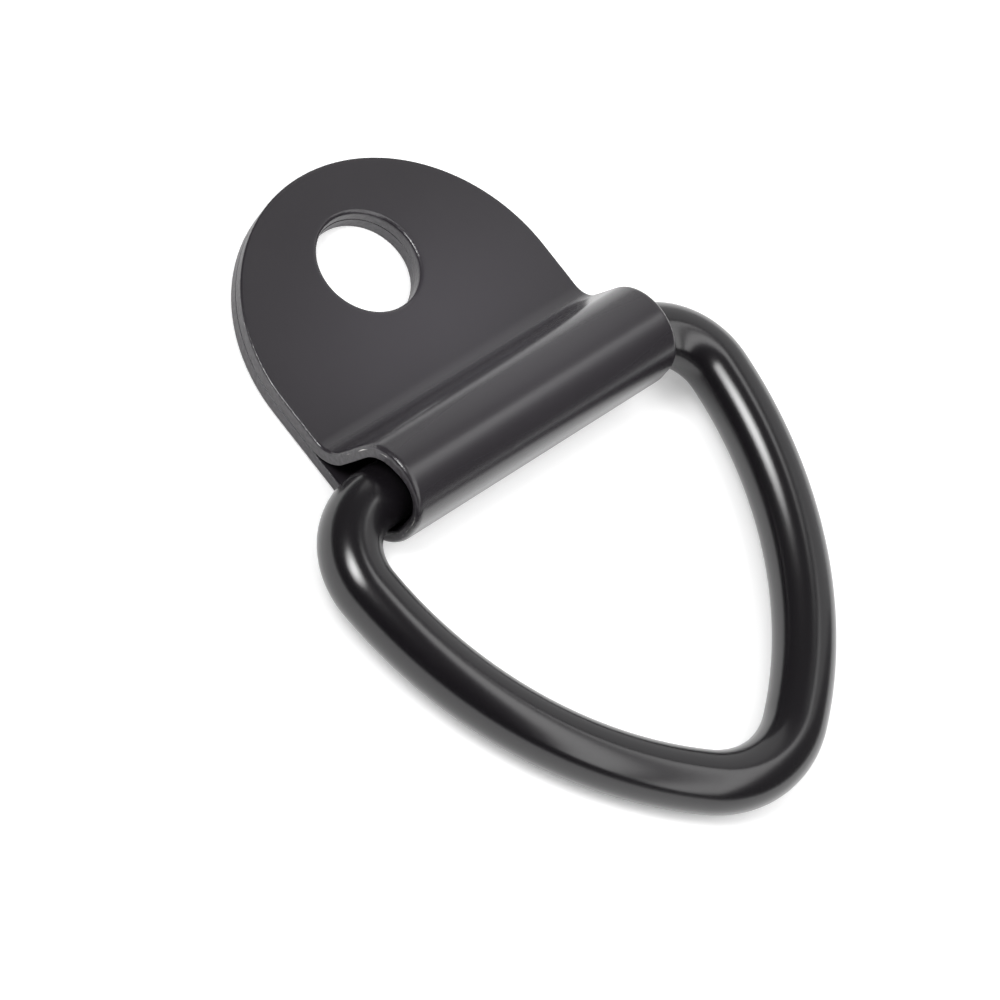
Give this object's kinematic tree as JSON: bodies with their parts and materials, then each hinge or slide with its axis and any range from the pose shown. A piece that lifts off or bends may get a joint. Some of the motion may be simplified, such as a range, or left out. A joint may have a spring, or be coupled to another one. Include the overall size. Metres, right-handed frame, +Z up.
{
  "type": "v-ring tie down anchor",
  "caption": "Tie down anchor: a V-shaped ring of round bar swings in a barrel folded from sheet steel whose doubled, round-ended plate bolts flat to a deck.",
  "frame": {"origin": "centre of the bolt hole on the plate's underside", "axes": "+Z up out of the deck along the bolt hole, +Y from the barrel towards the plate's rounded end, so the ring lies towards -Y, X along the barrel and the hinge"},
  "size_m": [0.062, 0.085, 0.0124],
  "materials": {
    "black_coated_sheet": "satin black powder coat on 1.5 mm sheet steel, bare bright specks on the sheared edges",
    "black_coated_bar": "satin black powder coat on 7 mm round steel bar"
  },
  "bodies": {
    "strap": {"folded_strap": "black_coated_sheet"},
    "ring": {"v_ring": "black_coated_bar"}
  },
  "joints": [
    {"name": "ring_swing", "type": "hinge", "parent": "strap", "child": "ring", "pos_m": [0, -0.0229, 0.0054], "axis": [-1, 0, 0], "range_deg": [0, 184.6]}
  ]
}
